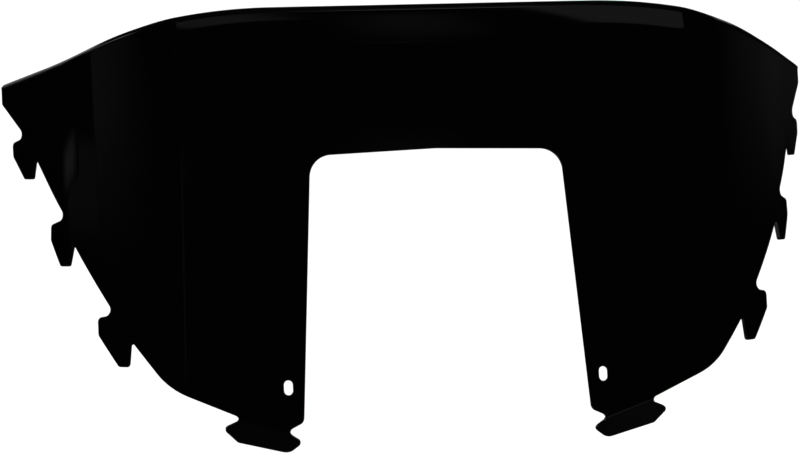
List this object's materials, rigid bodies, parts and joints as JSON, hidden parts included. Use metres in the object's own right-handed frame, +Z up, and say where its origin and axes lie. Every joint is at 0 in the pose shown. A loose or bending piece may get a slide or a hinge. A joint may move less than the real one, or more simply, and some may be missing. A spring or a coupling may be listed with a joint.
{
  "type": "windshield screen",
  "caption": "Low wrap-around windshield screen: gloss black sheet with a central arch cut-out, flared top edge, hooked side edges and slotted feet.",
  "frame": {"origin": "midway between the two mounting slots, on the front face of the flat centre panel", "axes": "+X across to the viewer's right when seen from the front, -Y forward, +Z up, with the flat centre panel upright"},
  "size_m": [0.7002, 0.124, 0.3609],
  "materials": {
    "windshield_screen": "polished gloss black, solid tint"
  },
  "bodies": {
    "root": {"windshield_screen": "windshield_screen"}
  },
  "joints": []
}
